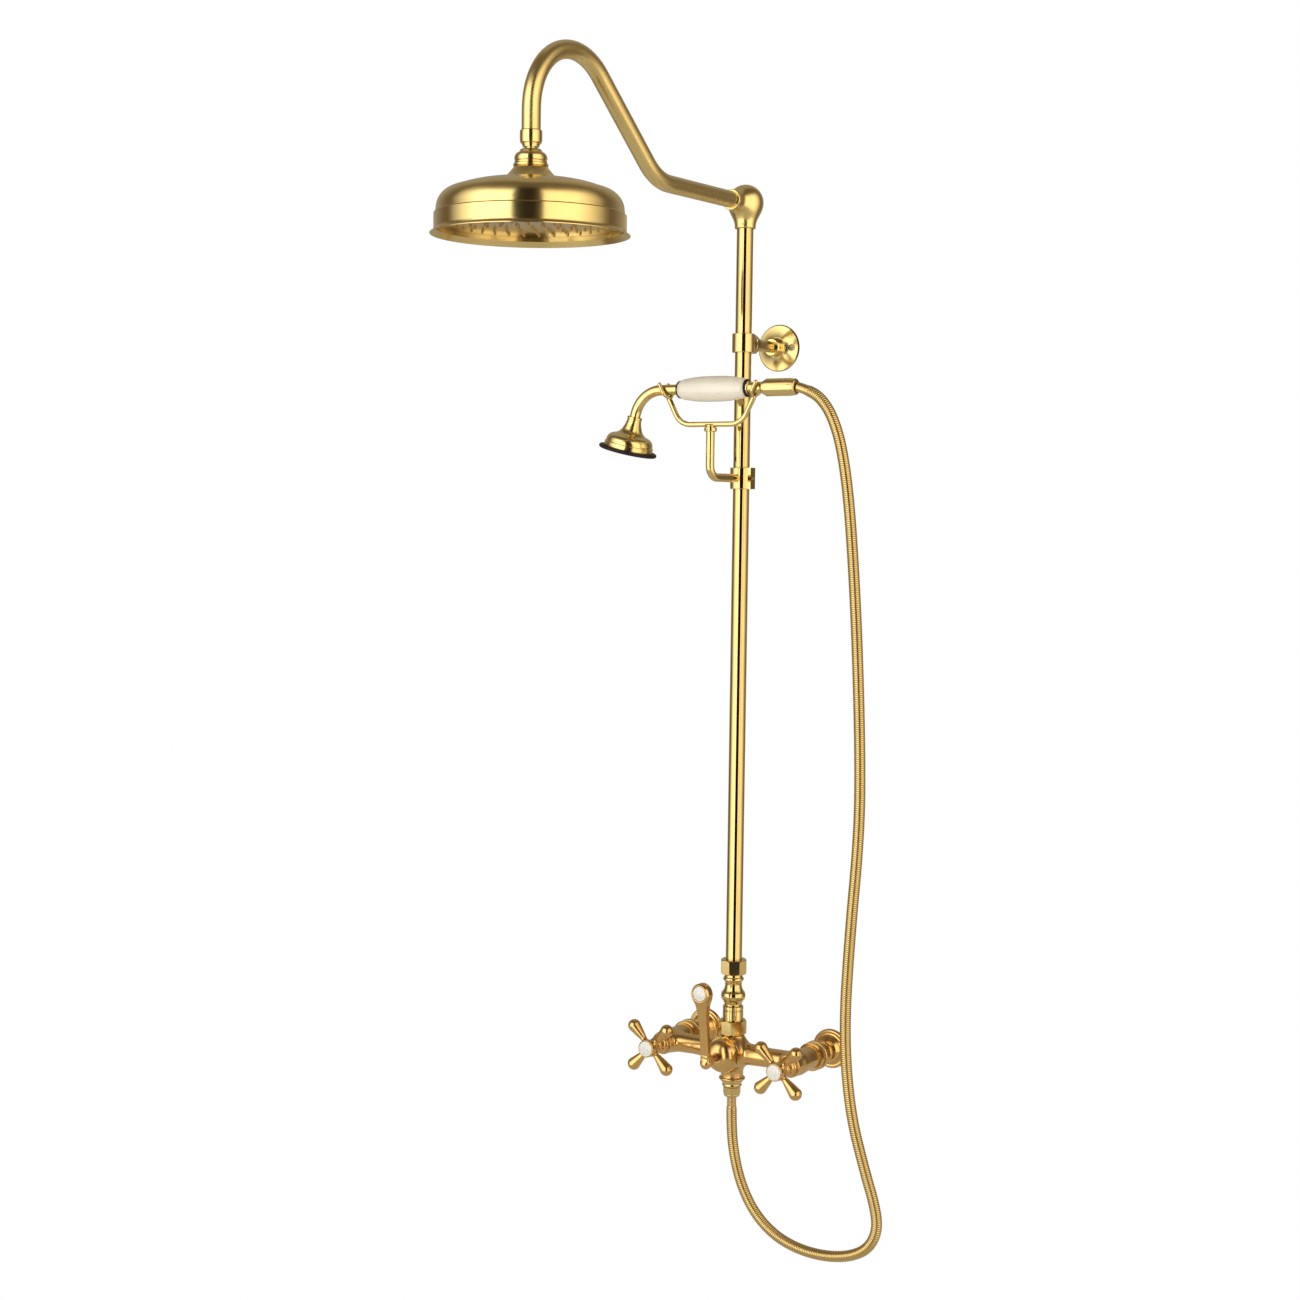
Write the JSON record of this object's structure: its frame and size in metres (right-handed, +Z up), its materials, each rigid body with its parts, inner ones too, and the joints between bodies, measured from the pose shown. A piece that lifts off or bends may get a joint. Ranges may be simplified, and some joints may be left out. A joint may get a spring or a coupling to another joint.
{
  "type": "rainfall shower column",
  "caption": "Exposed wall-mounted shower column: cross-handle mixer, diverter, riser, swinging crook arm with rain head, hand shower in a cradle and metal hose.",
  "frame": {"origin": "on the wall's face, midway between the two inlets", "axes": "+Y into the wall, +Z up along the riser, +X to the cold side"},
  "size_m": [0.4122, 0.6955, 1.5397],
  "materials": {
    "brushed_brass": "brushed satin",
    "satin_brass": "fine satin, cast",
    "hose_brass": "interlocked metal strip",
    "bronze": "plain machined",
    "porcelain": "glazed porcelain",
    "black_rubber": "matt",
    "acetal": "moulded",
    "screw_steel": "brass-tinted"
  },
  "bodies": {
    "root": {"inlet_flanges": "brushed_brass", "inlet_couplings": "brushed_brass", "union_nuts": "brushed_brass", "union_washers": "black_rubber", "mixer_body": "satin_brass", "valve_cartridges": "acetal", "valve_bonnets": "brushed_brass", "diverter_cartridge": "acetal", "diverter_bonnet": "satin_brass", "hose_outlet_adapter": "brushed_brass", "hose_washer": "black_rubber", "hose_nut_bottom": "brushed_brass", "hose": "hose_brass", "riser_nut_lower": "brushed_brass", "baluster_coupling": "brushed_brass", "riser_nut_upper": "brushed_brass", "riser_olive": "brushed_brass", "riser_pipe": "brushed_brass", "bracket_clamp": "brushed_brass", "bracket_tube": "brushed_brass", "bracket_flange": "brushed_brass", "bracket_wall_screws": "screw_steel", "cradle_clamp": "brushed_brass", "cradle_post": "brushed_brass", "cradle_fork": "brushed_brass", "set_screws": "screw_steel"},
    "hot_handle": {"cross_handle_hot": "satin_brass", "valve_spindle_hot": "bronze", "handle_screw_hot": "screw_steel", "index_button_hot": "porcelain"},
    "cold_handle": {"cross_handle_cold": "satin_brass", "valve_spindle_cold": "bronze", "handle_screw_cold": "screw_steel", "index_button_cold": "porcelain"},
    "diverter": {"diverter_spindle": "bronze", "diverter_lever": "satin_brass", "lever_button": "porcelain"},
    "arm": {"ball_elbow": "brushed_brass", "elbow_o_ring": "black_rubber", "elbow_collar": "brushed_brass", "shower_arm": "brushed_brass", "arm_collar": "brushed_brass"},
    "stud": {"ball_stud": "brushed_brass"},
    "head": {"swivel_nut": "brushed_brass", "ball_seal": "acetal", "head_shell": "brushed_brass", "head_face_plate": "brushed_brass", "head_nozzle_mat": "black_rubber", "head_gasket": "black_rubber"},
    "handset": {"handset_neck": "brushed_brass", "porcelain_grip": "porcelain", "grip_washers": "black_rubber", "handset_tailpiece": "brushed_brass", "hose_nut_top": "brushed_brass", "handset_bell": "brushed_brass", "handset_rim": "black_rubber", "handset_face": "brushed_brass"}
  },
  "joints": [
    {"name": "hot_handle_turn", "type": "hinge", "parent": "root", "child": "hot_handle", "pos_m": [-0.1015, -0.145, 0], "axis": [0, -1, 0], "range_deg": [0, 90]},
    {"name": "cold_handle_turn", "type": "hinge", "parent": "root", "child": "cold_handle", "pos_m": [0.1015, -0.145, 0], "axis": [0, 1, 0], "range_deg": [0, 90]},
    {"name": "diverter_turn", "type": "hinge", "parent": "root", "child": "diverter", "pos_m": [0, -0.163, 0], "axis": [0, -1, 0], "range_deg": [-90, 90]},
    {"name": "arm_swing", "type": "hinge", "parent": "root", "child": "arm", "pos_m": [0, -0.095, 1.145], "axis": [0, 0, 1], "range_deg": [-80, 80]},
    {"name": "head_spin", "type": "hinge", "parent": "arm", "child": "stud", "pos_m": [0, -0.5675, 1.133], "axis": [0, 0, 1], "continuous": true},
    {"name": "head_tilt", "type": "hinge", "parent": "stud", "child": "head", "pos_m": [0, -0.5675, 1.133], "axis": [1, 0, 0], "range_deg": [-12, 12]},
    {"name": "handset_lift", "type": "slide", "parent": "root", "child": "handset", "axis": [0, 0, 1], "range_m": [0, 0.06]}
  ]
}
